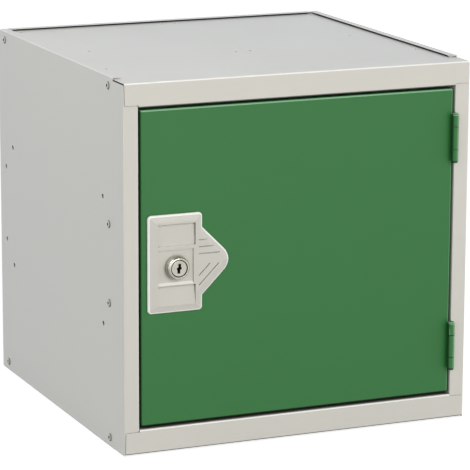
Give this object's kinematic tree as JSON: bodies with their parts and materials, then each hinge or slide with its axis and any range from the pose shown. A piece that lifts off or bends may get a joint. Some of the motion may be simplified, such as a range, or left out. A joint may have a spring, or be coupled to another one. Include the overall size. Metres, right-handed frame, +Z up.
{
  "type": "cube locker",
  "caption": "Steel cube locker with a recessed, hinged door, a moulded lock plate and a cam lock, riveted from folded sheet.",
  "frame": {"origin": "on the floor, in the middle of the whole object's outer box, the lock's bezel and the rivet heads included", "axes": "+X to the right seen from the front, +Y towards the back, +Z up; the door faces -Y"},
  "size_m": [0.3832, 0.389, 0.38],
  "materials": {
    "grey_paint": "satin powder coat",
    "green_paint": "satin powder coat",
    "grey_plastic": "satin",
    "chrome": "polished nickel",
    "zinc_steel": "zinc plated",
    "black_rubber": "matte"
  },
  "bodies": {
    "carcass": {"left_side_panel": "grey_paint", "right_side_panel": "grey_paint", "top_panel": "grey_paint", "floor_panel": "grey_paint", "back_panel": "grey_paint", "left_rivet_front_bottom": "grey_paint", "left_rivet_front_top": "grey_paint", "left_rivet_rear_bottom": "grey_paint", "left_rivet_rear_top": "grey_paint", "right_rivet_front_bottom": "grey_paint", "right_rivet_front_top": "grey_paint", "right_rivet_rear_bottom": "grey_paint", "right_rivet_rear_top": "grey_paint", "lock_keep_rivet_lower": "grey_paint", "lock_keep_rivet_upper": "grey_paint", "lock_keep": "zinc_steel", "door_buffer_upper": "black_rubber", "door_buffer_lower": "black_rubber", "upper_hinge_frame_leaf": "green_paint", "lower_hinge_frame_leaf": "green_paint", "upper_hinge_pin": "green_paint", "lower_hinge_pin": "green_paint"},
    "door": {"door_panel": "green_paint", "lock_plate": "grey_plastic", "lock_housing": "chrome", "lock_nut": "zinc_steel", "upper_hinge_door_leaf": "green_paint", "lower_hinge_door_leaf": "green_paint"},
    "lock_core": {"lock_plug": "chrome", "lock_cam": "zinc_steel", "cam_washer": "zinc_steel", "cam_screw": "zinc_steel"}
  },
  "joints": [
    {"name": "door_swing", "type": "hinge", "parent": "carcass", "child": "door", "pos_m": [0.1726, -0.18855, 0.19], "axis": [0, 0, 1], "range_deg": [0, 180]},
    {"name": "lock_turn", "type": "hinge", "parent": "door", "child": "lock_core", "pos_m": [-0.1347, -0.15895, 0.191], "axis": [0, 1, 0], "range_deg": [0, 90]}
  ]
}
